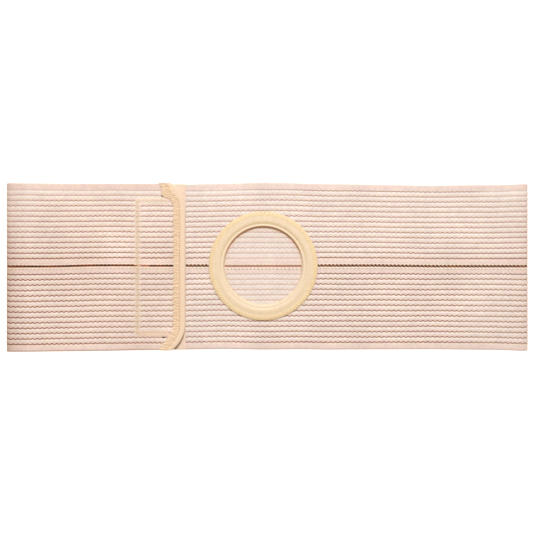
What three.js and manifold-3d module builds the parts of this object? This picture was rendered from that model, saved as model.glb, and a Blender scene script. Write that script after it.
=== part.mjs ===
// Ostomy support belt: an elastic waist belt, fastened on itself and laid flat on a table.
// Two ribbed elastic bands lie edge to edge and run once round as a flattened loop. Their outer end is
// a flap with a bound, round-cornered edge, which holds by hook and loop on the end of the front panel.
// A moulded ring frames the round opening in the front panel.
// Millimetres: +X along the laid belt, +Y up its height, +Z out of its front. The table is z = 0.

import * as THREE from "three";
import { mergeVertices } from "three/addons/utils/BufferGeometryUtils.js";
import Module from "manifold-3d";

const manifold = await Module();
manifold.setup();

// Driving dimensions of the belt
const LAID_WIDTH = 476; // fold to fold
const BELT_HEIGHT = 152; // two bands of three inches
const WAIST_GAP = 4.6; // between the back and the front panel, where the body goes
const CLEAR = 0.3; // between pieces that lie on each other

// Elastic: a band has plain selvages and round ribs between them
const WALL = 2; // rib crest to rib crest
const GROOVE_WALL = 0.9;
const SELVAGE_WALL = 1.4;
const EDGE_WALL = 0.7;
const EDGE_ROUND = 0.6;
const RIBS = 13;
const SEAM_GAP = 0.6; // between the two bands
const SEAM_SELVAGE = 7.2;
const OUTER_SELVAGE = 6.6;
const BAND_WIDTH = (BELT_HEIGHT - SEAM_GAP) / 2;
const RIB_PITCH = (BAND_WIDTH - SEAM_SELVAGE - OUTER_SELVAGE) / RIBS;

// Closure: the flap lies on a hook strip, and that on a loop strip on the front panel
const LOOP_STRIP = { left: -124, right: -74, height: 150.6, wall: 0.8 };
const HOOK_STRIP = { left: -121.5, right: -90, height: 122, wall: 0.9 };
const FLAP_EDGE = -75.4;
const FLAP_CORNER = 29; // radius
const CORNER_START = 52; // height above the middle where the corners begin
const PANEL_END = -128; // the front panel's covered end
const TAPE = { wall: 0.6, width: 10.3, bend: 16, bendAngle: 37, slant: 23.1, top: 76.8, bottom: -75.8 };
const TAPE_TAB = { left: -95.8, low: 63.6, high: 71.4 }; // the tape's turned end at the top

// Ring, in radii and in heights above the front panel: a low dome, a lip and a collar that narrows downward
const RING = { x: -3.3, sides: 48, clearHole: 38.6 };
const RING_PROFILE = [
  { r: 49.4, z: 0 },
  { r: 49.4, z: 0.4 },
  { r: 48.5, z: 0.85 },
  { r: 45, z: 1.2 },
  { r: 42.4, z: 1.35 },
  { r: 41.2, z: 1.3 },
  { r: 40, z: 1.05 },
  { r: 38.4, z: 0.6 },
  { r: 37.3, z: 0.8 },
  { r: 36.7, z: 0.7 },
  { r: 34.9, z: -2.3 },
  { r: 36, z: -2.3 },
  { r: 38, z: 0 },
];

// Heights of the layers
const BACK_MIDDLE = WALL / 2;
const FRONT_MIDDLE = BACK_MIDDLE + WALL + WAIST_GAP;
const FRONT_TOP = FRONT_MIDDLE + WALL / 2;
const LOOP_BOTTOM = FRONT_TOP + CLEAR;
const HOOK_BOTTOM = LOOP_BOTTOM + LOOP_STRIP.wall + CLEAR;
const FLAP_BOTTOM = HOOK_BOTTOM + HOOK_STRIP.wall + CLEAR;
const FLAP_MIDDLE = FLAP_BOTTOM + WALL / 2;
const FLAP_AT_FOLD = FRONT_MIDDLE + 1;

// Sections along the belt: middle of the wall, and how far the belt's edges stand beyond its height.
// The ring spreads the elastic, and the free stretches between it and the folds draw in.
const FRONT_SECTIONS = [
  { x: PANEL_END, z: FRONT_MIDDLE, spread: 0 },
  { x: -55, z: FRONT_MIDDLE, spread: -0.6 },
  { x: RING.x, z: FRONT_MIDDLE, spread: 0.3 },
  { x: 150, z: FRONT_MIDDLE, spread: -1.2 },
];
const BACK_SECTIONS = [
  { x: 150, z: BACK_MIDDLE, spread: -1 },
  { x: -150, z: BACK_MIDDLE, spread: -0.6 },
];
const FLAP_SECTIONS = [
  { x: -202, z: FLAP_AT_FOLD + 0.3, spread: 0.6 },
  { x: -170, z: FLAP_AT_FOLD + 1.8, spread: 0.1 },
  { x: -138, z: FLAP_MIDDLE, spread: 0 },
  { x: FLAP_EDGE - TAPE.wall - CLEAR, z: FLAP_MIDDLE, spread: -0.2 },
];
const FOLD_STEPS = 6;
const RIGHT_FOLD_SPREAD = 0;
const LEFT_FOLD_SPREAD = 0.7;

// Wall thickness across one rib, as shares of its pitch
const RIB_SHAPE = [
  { share: 0, wall: GROOVE_WALL },
  { share: 0.25, wall: WALL },
  { share: 0.75, wall: WALL },
];

// Finish of each piece
const FINISHES = {
  upper_band: { color: "#f0d6c8", roughness: 0.85, metalness: 0 },
  lower_band: { color: "#efd3c4", roughness: 0.85, metalness: 0 },
  belt_ring: { color: "#f3dab4", roughness: 0.45, metalness: 0 },
  flap_binding: { color: "#efd1ae", roughness: 0.8, metalness: 0 },
  hook_strip: { color: "#e9cfae", roughness: 0.6, metalness: 0 },
  loop_strip: { color: "#f4dcc6", roughness: 0.95, metalness: 0 },
};

function toSolid(geometry) {
  const bare = geometry.clone();
  bare.deleteAttribute("normal");
  bare.deleteAttribute("uv");
  const merged = mergeVertices(bare, 1e-4);
  const vertProperties = merged.attributes.position.array;
  const triVerts = new Uint32Array(merged.index.array);
  return new manifold.Manifold(new manifold.Mesh({ numProp: 3, vertProperties, triVerts }));
}

function toGeometry(solid) {
  const { vertProperties, triVerts } = solid.getMesh();
  const geometry = new THREE.BufferGeometry();
  geometry.setAttribute("position", new THREE.BufferAttribute(vertProperties, 3));
  geometry.setIndex(new THREE.BufferAttribute(triVerts, 1));
  geometry.computeVertexNormals();
  return geometry;
}

function plate(shape, bottom, depth) {
  const geometry = new THREE.ExtrudeGeometry(shape, { depth, bevelEnabled: false, curveSegments: 10 });
  return geometry.translate(0, 0, bottom);
}

// The band's section: (y, out) from its seam edge to its outer edge on the outside, and back on the inside.
function bandSection() {
  const start = SEAM_GAP / 2;
  const ribsStart = start + SEAM_SELVAGE;
  const ribsEnd = ribsStart + RIBS * RIB_PITCH;
  const end = start + BAND_WIDTH;
  const across = [
    { y: start, wall: EDGE_WALL },
    { y: start + EDGE_ROUND, wall: SELVAGE_WALL },
    { y: ribsStart - EDGE_ROUND, wall: SELVAGE_WALL },
  ];
  for (let rib = 0; rib < RIBS; rib += 1) {
    for (const { share, wall } of RIB_SHAPE) {
      across.push({ y: ribsStart + (rib + share) * RIB_PITCH, wall });
    }
  }
  across.push(
    { y: ribsEnd, wall: GROOVE_WALL },
    { y: ribsEnd + EDGE_ROUND, wall: SELVAGE_WALL },
    { y: end - EDGE_ROUND, wall: SELVAGE_WALL },
    { y: end, wall: EDGE_WALL },
  );
  const outside = across.map(({ y, wall }) => new THREE.Vector2(y, wall / 2));
  const inside = across.map(({ y, wall }) => new THREE.Vector2(y, -wall / 2));
  return [...outside, ...inside.reverse()];
}

// Sections of a half turn between two heights. Its outside reaches the end of the laid belt.
function foldSections(side, fromZ, toZ, spread) {
  const radius = Math.abs(toZ - fromZ) / 2;
  const middleX = side * (LAID_WIDTH / 2 - WALL / 2 - radius);
  const middleZ = (fromZ + toZ) / 2;
  const sections = [];
  for (let step = 0; step <= FOLD_STEPS; step += 1) {
    const turn = (Math.PI * step) / FOLD_STEPS;
    const x = middleX + side * radius * Math.sin(turn);
    const z = middleZ + ((fromZ - toZ) / 2) * Math.cos(turn);
    sections.push({ x, z, spread });
  }
  return sections;
}

function loopSections() {
  return [
    ...FRONT_SECTIONS,
    ...foldSections(1, FRONT_MIDDLE, BACK_MIDDLE, RIGHT_FOLD_SPREAD),
    ...BACK_SECTIONS,
    ...foldSections(-1, BACK_MIDDLE, FLAP_AT_FOLD, LEFT_FOLD_SPREAD),
    ...FLAP_SECTIONS,
  ];
}

// The outward direction at a section bisects those of the stretches before and after it.
function outwardAt(sections, index) {
  const here = sections[index];
  const out = new THREE.Vector2();
  for (const [from, to] of [[sections[index - 1], here], [here, sections[index + 1]]]) {
    if (from && to) out.add(new THREE.Vector2(from.z - to.z, to.x - from.x).normalize());
  }
  return out.normalize();
}

// A closed wall: the band's section carried along the belt's sections, with both ends capped.
function sweepBand(profile, sections) {
  const positions = [];
  sections.forEach((section, index) => {
    const out = outwardAt(sections, index);
    const stretch = 1 + (2 * section.spread) / BELT_HEIGHT;
    for (const point of profile) {
      positions.push(section.x + out.x * point.y, point.x * stretch, section.z + out.y * point.y);
    }
  });
  const around = profile.length;
  const triangles = [];
  for (let along = 0; along + 1 < sections.length; along += 1) {
    for (let j = 0; j < around; j += 1) {
      const a = along * around + j;
      const b = along * around + ((j + 1) % around);
      triangles.push(a, a + around, b, b, a + around, b + around);
    }
  }
  const last = (sections.length - 1) * around;
  for (const [a, b, c] of THREE.ShapeUtils.triangulateShape(profile, [])) {
    triangles.push(a, c, b, last + a, last + b, last + c);
  }
  const geometry = new THREE.BufferGeometry();
  geometry.setAttribute("position", new THREE.Float32BufferAttribute(positions, 3));
  return geometry.setIndex(triangles);
}

// The flap's round-cornered end, drawn in by inset. It runs left past the hook strip.
function flapOutline(inset) {
  const edge = FLAP_EDGE - inset;
  const radius = FLAP_CORNER - inset;
  const middle = FLAP_EDGE - FLAP_CORNER;
  const left = PANEL_END;
  return new THREE.Shape()
    .moveTo(left, -CORNER_START - radius)
    .lineTo(middle, -CORNER_START - radius)
    .absarc(middle, -CORNER_START, radius, -Math.PI / 2, 0, false)
    .lineTo(edge, CORNER_START)
    .absarc(middle, CORNER_START, radius, 0, Math.PI / 2, false)
    .lineTo(left, CORNER_START + radius);
}

// What is cut off the upper band's end: the corner outside the flap's outline, at the height of the flap.
function flapCorner(inset) {
  const radius = FLAP_CORNER - inset;
  const middle = FLAP_EDGE - FLAP_CORNER;
  const shape = new THREE.Shape()
    .moveTo(FLAP_EDGE + CLEAR, CORNER_START)
    .lineTo(FLAP_EDGE - inset, CORNER_START)
    .absarc(middle, CORNER_START, radius, 0, Math.PI / 2, false)
    .lineTo(FLAP_EDGE + CLEAR, CORNER_START + radius);
  return plate(shape, FLAP_BOTTOM - CLEAR, WALL + 2 * CLEAR);
}

function upperBand() {
  const swept = toSolid(sweepBand(bandSection(), loopSections()));
  const hole = new THREE.CylinderGeometry(RING.clearHole, RING.clearHole, 2 * WALL, RING.sides);
  hole.rotateX(Math.PI / 2).translate(RING.x, 0, FRONT_MIDDLE);
  const corner = flapCorner(TAPE.wall + CLEAR);
  return toGeometry(swept.subtract(toSolid(hole)).subtract(toSolid(corner)));
}

function beltRing() {
  const outline = RING_PROFILE.map(({ r, z }) => new THREE.Vector2(r, z));
  const geometry = new THREE.LatheGeometry([...outline, outline[0]], RING.sides);
  return geometry.rotateX(Math.PI / 2).translate(RING.x, 0, FRONT_TOP + CLEAR);
}

// The tape's outline on the flap: the flap's edge outside, and inside a bend that slants to the belt's edges.
function tapeOutline() {
  const outer = FLAP_EDGE - FLAP_CORNER;
  const inner = FLAP_EDGE - TAPE.width - TAPE.bend;
  const end = FLAP_EDGE - TAPE.slant;
  const bend = THREE.MathUtils.degToRad(TAPE.bendAngle);
  const topTurn = Math.asin((TAPE.top - CORNER_START) / FLAP_CORNER);
  const bottomTurn = Math.asin((TAPE.bottom + CORNER_START) / FLAP_CORNER);
  return new THREE.Shape()
    .moveTo(FLAP_EDGE, -CORNER_START)
    .lineTo(FLAP_EDGE, CORNER_START)
    .absarc(outer, CORNER_START, FLAP_CORNER, 0, topTurn, false)
    .lineTo(end, TAPE.top)
    .lineTo(TAPE_TAB.left, TAPE_TAB.high)
    .lineTo(TAPE_TAB.left, TAPE_TAB.low)
    .absarc(inner, CORNER_START, TAPE.bend, bend, 0, true)
    .lineTo(inner + TAPE.bend, -CORNER_START)
    .absarc(inner, -CORNER_START, TAPE.bend, 0, -bend, true)
    .lineTo(end, TAPE.bottom)
    .absarc(outer, -CORNER_START, FLAP_CORNER, bottomTurn, 0, false);
}

// The tape is folded over the flap's edge, so the flap's own wall is cut out of it.
function flapBinding() {
  const depth = WALL + 2 * (CLEAR + TAPE.wall);
  const folded = plate(tapeOutline(), FLAP_BOTTOM - CLEAR - TAPE.wall, depth);
  const slot = plate(flapOutline(TAPE.wall), FLAP_BOTTOM - CLEAR, WALL + 2 * CLEAR);
  return toGeometry(toSolid(folded).subtract(toSolid(slot)));
}

function strip({ left, right, height, wall }, bottom) {
  const geometry = new THREE.BoxGeometry(right - left, height, wall);
  return geometry.translate((left + right) / 2, 0, bottom + wall / 2);
}

function add(group, name, geometry) {
  const mesh = new THREE.Mesh(geometry, new THREE.MeshStandardMaterial(FINISHES[name]));
  mesh.name = name;
  group.add(mesh);
  return mesh;
}

const belt = new THREE.Group();
const band = upperBand();
add(belt, "upper_band", band);
add(belt, "lower_band", band).scale.y = -1;
add(belt, "belt_ring", beltRing());
add(belt, "flap_binding", flapBinding());
add(belt, "hook_strip", strip(HOOK_STRIP, HOOK_BOTTOM));
add(belt, "loop_strip", strip(LOOP_STRIP, LOOP_BOTTOM));

export default belt;
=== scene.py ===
import bisect
import functools
import math
import random

import bmesh
import bpy
import numpy as np
from mathutils import Matrix, Vector, noise


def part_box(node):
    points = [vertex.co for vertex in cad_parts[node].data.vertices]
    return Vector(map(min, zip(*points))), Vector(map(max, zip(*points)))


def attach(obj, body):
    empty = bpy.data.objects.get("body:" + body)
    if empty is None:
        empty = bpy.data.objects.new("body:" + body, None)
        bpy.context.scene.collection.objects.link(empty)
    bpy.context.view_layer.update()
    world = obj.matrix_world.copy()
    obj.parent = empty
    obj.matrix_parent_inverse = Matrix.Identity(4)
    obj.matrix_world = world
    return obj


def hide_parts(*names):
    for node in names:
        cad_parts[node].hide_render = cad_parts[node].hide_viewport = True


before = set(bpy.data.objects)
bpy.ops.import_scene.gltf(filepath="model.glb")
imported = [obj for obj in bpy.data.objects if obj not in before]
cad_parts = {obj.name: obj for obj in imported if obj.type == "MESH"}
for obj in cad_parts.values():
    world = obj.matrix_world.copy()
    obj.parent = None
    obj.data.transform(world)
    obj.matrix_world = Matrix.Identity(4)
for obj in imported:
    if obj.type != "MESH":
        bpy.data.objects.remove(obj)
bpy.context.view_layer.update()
mm = 0.001  # shapes are worked out in millimetres and scaled once, at the end of each piece
random.seed(7)
print("frame loaded:", sorted(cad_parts))

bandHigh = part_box("upper_band")[1]
ringLow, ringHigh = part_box("belt_ring")
tapeLow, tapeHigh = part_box("flap_binding")
loopLow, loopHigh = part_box("loop_strip")
hookLow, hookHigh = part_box("hook_strip")
upward = Vector((0, 0, 1))


def ease(share):
    share = min(max(share, 0.0), 1.0)
    return share * share * (3 - 2 * share)


def alongTable(rows, x):
    # a smooth line through (x, value) rows
    for (x0, v0), (x1, v1) in zip(rows, rows[1:]):
        if x <= x1:
            return v0 + (v1 - v0) * ease((x - x0) / (x1 - x0))
    return rows[-1][1]


def steps(start, end, step):
    # evenly spaced values from start up to, but not including, end
    count = max(1, round(abs(end - start) / step))
    return [start + (end - start) * k / count for k in range(count)]


def waysAlong(points):
    # the way from the first point to each one
    ways = [0.0]
    for a, b in zip(points, points[1:]):
        ways.append(ways[-1] + (b - a).length)
    return ways


def stretchAt(ways, at):
    # which stretch of a line a place is on, and the share of that stretch before it
    k = min(max(bisect.bisect_right(ways, at) - 1, 0), len(ways) - 2)
    return k, (at - ways[k]) / (ways[k + 1] - ways[k])


# The laid belt. Heights are those of the middle of the wall, as in the solids.
belt = {
    "reach": bandHigh.x / mm,  # from the middle to either fold
    "halfHeight": 76.0,
    "wall": 2.0,
    "backZ": 1.0,
    "frontZ": loopLow.z / mm - 1.3,
    "foldZ": loopLow.z / mm - 0.3,  # the flap where it leaves its fold
    "flapZ": bandHigh.z / mm - 1.0,
    "panelEnd": -128.0,
    "shownFrom": -90.0,  # the front panel is under the flap left of this
    "window": (-46.0, 40.0),  # back seen through the ring
    "step": 3.0,
    "foldSteps": 14,
    "foldMargin": 4.0,  # a fold shows this far round
    "edgeLine": [(-229, 0.8), (-152, 0.0), (-107, -0.4), (-70, -0.8), (-43, -0.7), (-3, 0.0),
                 (45, -0.5), (148, -1.3), (203, -0.9), (236, 0.0)],  # edges beyond half the height
    "lift": [(-236, -0.5), (-180, -0.4), (-110, 0.0), (-75, 0.0), (-30, 0.7), (20, 0.7), (60, 0.1),
             (150, -0.4), (236, -0.5)],  # the ring draws the belt up
    "seamLine": [(-236, 0.3), (-202, 0.3), (-148, 1.3), (-127, 1.3), (-107, 0.9), (-66, 1.0), (51, 1.1),
                 (98, 1.1), (125, 0.8), (153, 0.5), (236, 0.5)],  # the seam above the middle
    "seamFade": 78.0,  # distance from the seam where its line no longer counts
    "backTuck": 0.5,  # the back stands this much inside the front's edges
    "backShift": -0.4,  # and its seam is this much above the front's, so a little below
    "shiftReach": 30.0,
    "bulge": 4.2,  # of the back, towards the ring
    "bulgeReach": (34.0, 62.0),  # from the ring's middle: where the bulge starts to fall, and its end
    "sway": 0.35,  # small wander of the ribs
    "swayLength": 34.0,
}
belt["climb"] = [(-216.0, belt["foldZ"]), (-138.0, belt["flapZ"])]  # the flap rises onto the closure
flapEnd = {
    "edge": tapeHigh.x / mm + 1.0,
    "corner": 29.0,  # radius of the round corners
    "cornerStart": 52.0,
    "inset": 0.9,  # of the elastic inside the binding
    "shapedFrom": -132.0,
    "curl": {1: 0.3, -1: 1.0},  # its corners stand up by this, above and below
    "curlX": [(-122.0, 0.0), (-82.0, 1.0)],
    "curlY": [(48.0, 0.0), (75.0, 1.0)],  # by the distance from the seam
}


def flapCurl(x, y):
    share = alongTable(flapEnd["curlX"], x) * alongTable(flapEnd["curlY"], abs(y))
    return flapEnd["curl"][1 if y > 0 else -1] * share


def foldPlaces(side, fromZ, toZ):
    radius = abs(toZ - fromZ) / 2
    middleX = side * (belt["reach"] - belt["wall"] / 2 - radius)
    turns = [math.pi * k / belt["foldSteps"] for k in range(belt["foldSteps"])]
    return [(middleX + side * radius * math.sin(t), (fromZ + toZ) / 2 + (fromZ - toZ) / 2 * math.cos(t))
            for t in turns]


def loopStretches():
    # the wall's middle line in x and z: from the panel's covered end, once round, to the flap's end
    frontZ, backZ, foldZ, step = belt["frontZ"], belt["backZ"], belt["foldZ"], belt["step"]
    right = belt["reach"] - belt["wall"] / 2 - (frontZ - backZ) / 2
    left = -belt["reach"] + belt["wall"] / 2 + (foldZ - backZ) / 2
    end = flapEnd["edge"] - flapEnd["inset"]
    return {
        "front": [(x, frontZ) for x in steps(belt["panelEnd"], right, step)],
        "rightFold": foldPlaces(1, frontZ, backZ),
        "back": [(x, backZ) for x in steps(right, left, step)],
        "leftFold": foldPlaces(-1, backZ, foldZ),
        "flap": [(x, alongTable(belt["climb"], x)) for x in [*steps(left, end, step), end]],
    }


stretches = loopStretches()
loopLine = [Vector(place) for stretch in stretches.values() for place in stretch]
heads = [(b - a).normalized() for a, b in zip(loopLine, loopLine[1:])]
heads = [(a + b).normalized() for a, b in zip(heads[:1] + heads, heads + heads[-1:])]
alongs = waysAlong(loopLine)
loopLength = alongs[-1]
alongOf, count = {}, 0
for stretchName, stretch in stretches.items():
    alongOf[stretchName] = alongs[count]
    count += len(stretch)
print("loop measured:", round(loopLength, 1), "mm of band")


def stationAt(along):
    # place of the wall's middle, and its outward direction, in x and z
    k, share = stretchAt(alongs, along)
    head = heads[k].lerp(heads[k + 1], share).normalized()
    return loopLine[k].lerp(loopLine[k + 1], share), Vector((-head.y, head.x))


# Ribbed elastic: the profile across one band, from its seam edge to its outer edge
elastic = {
    "seamGap": 0.03,  # between the two bands
    "width": 75.985,
    "seamSelvage": 7.2,
    "outerSelvage": 6.6,
    "ribs": 13,
    "crest": 1.0,  # half the wall on a rib
    "groove": 0.24,  # between two ribs
    "selvage": 0.72,  # on a selvage
    "edge": 0.1,  # and at a free edge
    "roundness": 2.2,  # power of the rib's curve
    "lean": 0.62,  # a rib's crest, from its upper groove in shares of the pitch
    "edgeRound": 1.3,
    "bankRound": 0.8,
    "inside": 0.5,  # the loop's inside has shallower, paler grooves
    "ribShares": (0.12, 0.34, 0.6, 0.84, 1.0),  # mesh rows across a rib, from its upper groove
    "selvageRows": (0.0, 0.15, 0.5, 1.3, 2.6, 4.4),  # from a selvage's free edge
    "bankRows": (0.9, 0.4),  # and before its groove
    "scallop": 4.42,  # one knitted course: the ribs wave by it
    "wave": {1: 0.38, -1: 0.47},  # in the upper and the lower band
    "waveFrom": 4.4,  # distance from either edge where the waves start
    "waveReach": (2.8, 2.2),
    "columnsInCourse": 4,
    "hiddenColumns": 8,  # one column in this many where the belt doesn't show
    "hole": 40.5,  # radius cut out under the ring
    "holeMargin": 3.0,
    "ringX": (ringLow.x + ringHigh.x) / 2 / mm - 0.35,  # the ring as it is sewn on, a little off its place
    "ringY": 0.75,
}
elastic["pitch"] = (elastic["width"] - elastic["seamSelvage"] - elastic["outerSelvage"]) / elastic["ribs"]


def roundOver(distance, reach):
    share = min(max(distance / reach, 0.0), 1.0)
    return math.sqrt(1 - (1 - share) ** 2)


def downRib(across, side):
    # share of a rib from its upper groove, or nothing on a selvage
    rib = (across - elastic["seamSelvage"]) / elastic["pitch"]
    if 0 < rib < elastic["ribs"]:
        return 1 - rib % 1 if side > 0 else rib % 1


def halfWall(across, side):
    e = elastic
    down = downRib(across, side)
    if down is not None:
        toCrest = (e["lean"] - down) / (e["lean"] if down < e["lean"] else e["lean"] - 1)
        return e["groove"] + (e["crest"] - e["groove"]) * (1 - toCrest ** e["roundness"])
    toEdge = min(across, e["width"] - across)
    toRibs = max(e["seamSelvage"] - across, across - (e["width"] - e["outerSelvage"]))
    return min(e["edge"] + (e["selvage"] - e["edge"]) * roundOver(toEdge, e["edgeRound"]),
               e["groove"] + (e["selvage"] - e["groove"]) * roundOver(toRibs, e["bankRound"]))


# Sewn lines on the flap press the ribs flat
stitchedBox = {
    "left": -117.7,
    "right": -88.0,
    "top": 60.3,
    "bottom": -61.0,
    "press": [(2.2, 0.8), (3.8, 0.0)],  # by the distance from a line
    "pressedHalf": 0.74,
    "paled": 0.5,  # the thread hides the grooves' colour
    "closed": [(0, 0.0), (4, 0.5), (9, 0.5), (13, 0.0)],  # the seam is paler just right of the left line
}


def pressAt(x, y):
    b = stitchedBox
    lines = [math.hypot(x - b["left"], y - min(max(y, b["bottom"]), b["top"]))]
    for level in (b["top"], b["bottom"]):
        lines.append(math.hypot(x - min(max(x, b["left"]), b["right"]), y - level))
    return alongTable(b["press"], min(lines))


def fromRing(place):
    return math.hypot(place.x - elastic["ringX"], place.y - elastic["ringY"])


def beltPoint(along, across, side, half):
    # a point on the laid belt: side is 1 above the seam and -1 below, half is from the wall's middle
    e, f = elastic, flapEnd
    at, out = stationAt(along)
    onFlap = along > alongOf["flap"]
    onBack = alongOf["back"] < along < alongOf["leftFold"]
    scallop = 1 - 2 * abs(math.sin(math.pi * along / e["scallop"]))
    inRibs = (ease((across - e["waveFrom"]) / e["waveReach"][0])
              * ease((e["width"] - e["waveFrom"] - across) / e["waveReach"][1]))
    spread = alongTable(belt["edgeLine"], at.x) - (belt["backTuck"] if onBack else 0.0)
    y = side * (e["seamGap"] / 2 + across) * (1 + spread / belt["halfHeight"])
    sway = noise.noise((along / belt["swayLength"], y / belt["swayLength"], 0.0))
    lift = alongTable(belt["lift"], at.x)
    y += lift + (alongTable(belt["seamLine"], at.x) - lift) * (1 - abs(y) / belt["seamFade"])
    y += (e["wave"][side] * scallop + belt["sway"] * sway) * inRibs
    x, z = at.x, at.y + out.y * half
    if onBack:
        level, end = belt["bulgeReach"]
        z += belt["bulge"] * ease((end - fromRing(Vector((x, y)))) / (end - level))
        toFold = min(along - alongOf["back"], alongOf["leftFold"] - along)
        y += belt["backShift"] * ease(toFold / belt["shiftReach"])
    if onFlap and x > f["shapedFrom"]:
        over = max(0.0, abs(y) - f["cornerStart"])
        radius = f["corner"] - f["inset"]
        cut = radius - math.sqrt(max(0.0, radius ** 2 - over ** 2))
        x -= cut * (x - f["shapedFrom"]) / (f["edge"] - f["inset"] - f["shapedFrom"])
    if onFlap and half > 0:
        half += (stitchedBox["pressedHalf"] - half) * pressAt(x, y)
        z = at.y + out.y * half
    if onFlap:
        z += flapCurl(x, y)
    return Vector((x + out.x * half, y, z))


def shownStretches():
    right = stretches["back"][0][0]
    windowLeft, windowRight = belt["window"]
    return [
        (belt["shownFrom"] - belt["panelEnd"], alongOf["back"] + belt["foldMargin"]),
        (alongOf["back"] + right - windowRight, alongOf["back"] + right - windowLeft),
        (alongOf["leftFold"] - belt["foldMargin"], loopLength),
    ]


def columnPlaces():
    # columns of the mesh fall on the courses' cusps and lobes
    step = elastic["scallop"] / elastic["columnsInCourse"]
    shown = shownStretches()
    places = [k * step for k in range(int(loopLength / step))
              if k % elastic["hiddenColumns"] == 0 or any(a < k * step < b for a, b in shown)]
    return places + [loopLength]


def rowPlaces(side):
    e = elastic
    rows = list(e["selvageRows"]) + [e["seamSelvage"] - r for r in e["bankRows"]] + [e["seamSelvage"]]
    shares = e["ribShares"] if side < 0 else [1 - share for share in reversed(e["ribShares"][:-1])] + [1.0]
    for rib in range(e["ribs"]):
        rows += [e["seamSelvage"] + (rib + share) * e["pitch"] for share in shares]
    rows += [e["width"] - e["outerSelvage"] + r for r in reversed(e["bankRows"])]
    return rows + [e["width"] - r for r in reversed(e["selvageRows"])]


def gridAt(columnsAt, rowsAt):
    # a flat grid with its columns and rows at the given places
    bm = bmesh.new()
    columns, rows = len(columnsAt) - 1, len(rowsAt) - 1
    bmesh.ops.create_grid(bm, x_segments=columns, y_segments=rows, size=1.0)
    for v in bm.verts:
        column, row = round((v.co.x + 1) / 2 * columns), round((v.co.y + 1) / 2 * rows)
        v.co = (columnsAt[column], rowsAt[row], 0.0)
    return bm


def thicken(bm, wall):
    # a closed sheet: the faces that are there, and a copy of them one wall higher
    lifted = bmesh.ops.extrude_face_region(bm, geom=list(bm.faces), use_keep_orig=True)["geom"]
    raised = [g for g in lifted if isinstance(g, bmesh.types.BMVert)]
    bmesh.ops.translate(bm, verts=raised, vec=(0, 0, wall))
    bmesh.ops.recalc_face_normals(bm, faces=bm.faces)


def keepFlatPlaces(bm):
    # the flat place of each corner, in metres, is kept as the map "cloth"
    cloth = bm.loops.layers.uv.new("cloth")
    for f in bm.faces:
        for loop in f.loops:
            loop[cloth].uv = loop.vert.co.xy * mm


def cutRingHole(bm):
    # takes the half disc under the ring out of the flat band and rounds the cut
    middle = Vector((elastic["ringX"] - belt["panelEnd"], -elastic["seamGap"] / 2))
    radius = elastic["hole"]
    inside = [f for f in bm.faces if (f.calc_center_median().xy - middle).length < radius]
    bmesh.ops.delete(bm, geom=inside, context="FACES")
    for v in bm.verts:
        reach = v.co.xy - middle
        if v.is_boundary and reach.length < radius + elastic["holeMargin"] and v.co.y > elastic["seamGap"]:
            v.co.xy = middle + reach.normalized() * radius


def finishPiece(mesh, material, replaced=None):
    piece = bpy.data.objects.new(mesh.name, mesh)
    bpy.context.scene.collection.objects.link(piece)
    mesh.materials.append(material)
    mesh.shade_smooth()
    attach(piece, "root")
    if replaced:
        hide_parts(replaced)
    print("made", mesh.name, len(mesh.polygons), "faces")
    return piece


def meshFrom(bm, name):
    bm.transform(Matrix.Scale(mm, 4))
    mesh = bpy.data.meshes.new(name)
    bm.to_mesh(mesh)
    bm.free()
    return mesh


# Tones of the elastic, kept on its vertices. Pairs are for the upper and the lower band.
tones = {
    "frontShade": {1: 0.84, -1: 1.0},  # how dark the seam and the grooves are on the front
    "flapShade": {1: 0.94, -1: 1.0},
    "ribShade": 0.8,  # the grooves, against the seam
    "seamReach": 3.0,  # what is nearer to the edge than this counts as seam
    "seamBlend": 2.0,
    "rowOutside": 0.46,  # the needle holes beside the seam are fainter on the loop's outside
    # the pale flank below each groove is a painted highlight, where the rib faces the light
    "cream": 3.4,  # reach of the pale flank below a groove, on the selvages
    "creamAbove": 0.5,
    "creamFrom": 0.4,
    # where the painted highlight on the flank is strongest
    "flank": 0.34,  # share of a rib, from its upper groove, where it is palest
    # the grooves by the distance from the outer edge
    "edgeTone": {1: [(6.6, 0.82), (11.4, 0.86), (21, 0.86), (40, 0.92), (60, 1.03), (68.7, 1.35)],
                 -1: [(6.6, 1.14), (11.4, 1.02), (60, 1.0), (68.7, 1.12)]},
    # the uppermost grooves nearly vanish, most of all in the corners
    "topFade": [(-236, 0.85), (-190, 0.78), (-60, 0.72), (10, 0.4), (45, 0.0), (165, 0.0), (187, 0.15),
                (203, 0.9), (236, 1.0)],
    "topReach": [(3, 1.0), (19, 0.0)],
    "cornerFade": [(200, 0.0), (222, 0.3)],  # by the distance from the middle
    "cornerHeight": 60.0,
    "lowTone": [(-236, 1.15), (-190, 1.08), (-150, 0.98), (-60, 0.85), (20, 1.0), (60, 1.03), (165, 1.05),
                (190, 0.88), (236, 0.87)],
    # painted shade: the folds and the lower edge are darker
    "foldDusk": [(0, 1.0), (2.7, 0.82), (5.5, 0.56), (8.2, 0.42), (11, 0.29), (13.6, 0.18), (22, 0.0)],
    "leftDusk": [(-60, 0.9), (20, 0.92), (50, 0.64)],  # by height
    "rightDusk": 0.36,
    "rimDusk": [(-236, 1.0), (-130, 1.0), (-100, 0.6), (110, 0.5), (236, 0.35)],  # along the lower edge
    "rim": [(0.5, 1.0), (1.3, 0.0)],
    # paler spots: a painted highlight where the flap climbs onto the closure, and places only made lighter:
    # place, reach and strength
    "paleSpots": [((-136, 12), (26, 32), 0.26), ((-108, 32), (28, 36), 0.14), ((-202, -34), (28, 28), 0.12),
               ((-158, -73), (44, 7), 0.2), ((75, 12), (48, 17), 0.1), ((-107, 4), (26, 12), 0.2),
               ((-114, 60), (22, 18), 0.16)],
    "warm": [(31.5, 0.0), (35.5, 1.0)],  # the ring's amber shade on the back, by radius
    "warmEnd": 45.0,
    "warmLean": (0.75, 0.45),  # and its share at the sides, and what the side of the light adds
}
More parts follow.
